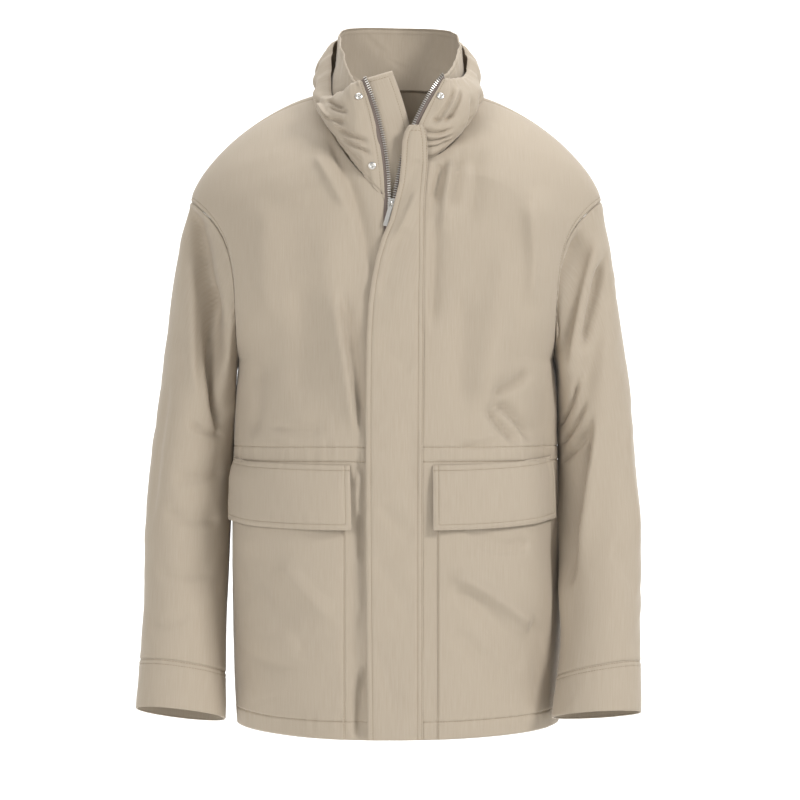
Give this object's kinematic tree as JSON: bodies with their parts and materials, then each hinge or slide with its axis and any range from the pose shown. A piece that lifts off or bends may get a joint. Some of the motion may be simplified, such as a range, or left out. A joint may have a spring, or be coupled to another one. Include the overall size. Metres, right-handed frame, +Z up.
{
  "type": "parka",
  "caption": "Worn field parka in khaki cotton: an open hollow shell with a tall zip funnel collar, storm flap, patch pockets with flaps and sleeves hanging at the sides.",
  "frame": {"origin": "middle of the neck hole, level with the top of the shoulder seams, where the wearer's shoulders carry the coat", "axes": "+Z up along the wearer's spine, the front faces -Y, the wearer's left is +X"},
  "size_m": [0.6209, 0.2895, 0.884],
  "materials": {
    "khaki_cotton": "matt with a faint sheen, dense smooth weave",
    "zip_tape": "matt woven tape",
    "nickel_steel": "satin nickel"
  },
  "bodies": {
    "jacket": {"back": "khaki_cotton", "collar_inner": "khaki_cotton", "collar_outer": "khaki_cotton", "cuff_left": "khaki_cotton", "cuff_right": "khaki_cotton", "front_left": "khaki_cotton", "front_right": "khaki_cotton", "pocket_flap_left": "khaki_cotton", "pocket_flap_right": "khaki_cotton", "pocket_left": "khaki_cotton", "pocket_right": "khaki_cotton", "sleeve_left": "khaki_cotton", "sleeve_right": "khaki_cotton", "snap_1": "nickel_steel", "snap_2": "nickel_steel", "snap_3": "nickel_steel", "storm_flap": "khaki_cotton", "zip_guard": "khaki_cotton", "zip_slider": "nickel_steel", "zip_tape_left": "zip_tape", "zip_tape_right": "zip_tape", "zip_teeth_left": "nickel_steel", "zip_teeth_right": "nickel_steel"},
    "pull_tab": {"zip_pull": "nickel_steel"}
  },
  "joints": [
    {"name": "pull_hinge", "type": "hinge", "parent": "jacket", "child": "pull_tab", "pos_m": [-0.00516, -0.13205, -0.13859], "axis": [-0.9632, 0.0384, 0.2662], "range_deg": [0, 140]}
  ]
}
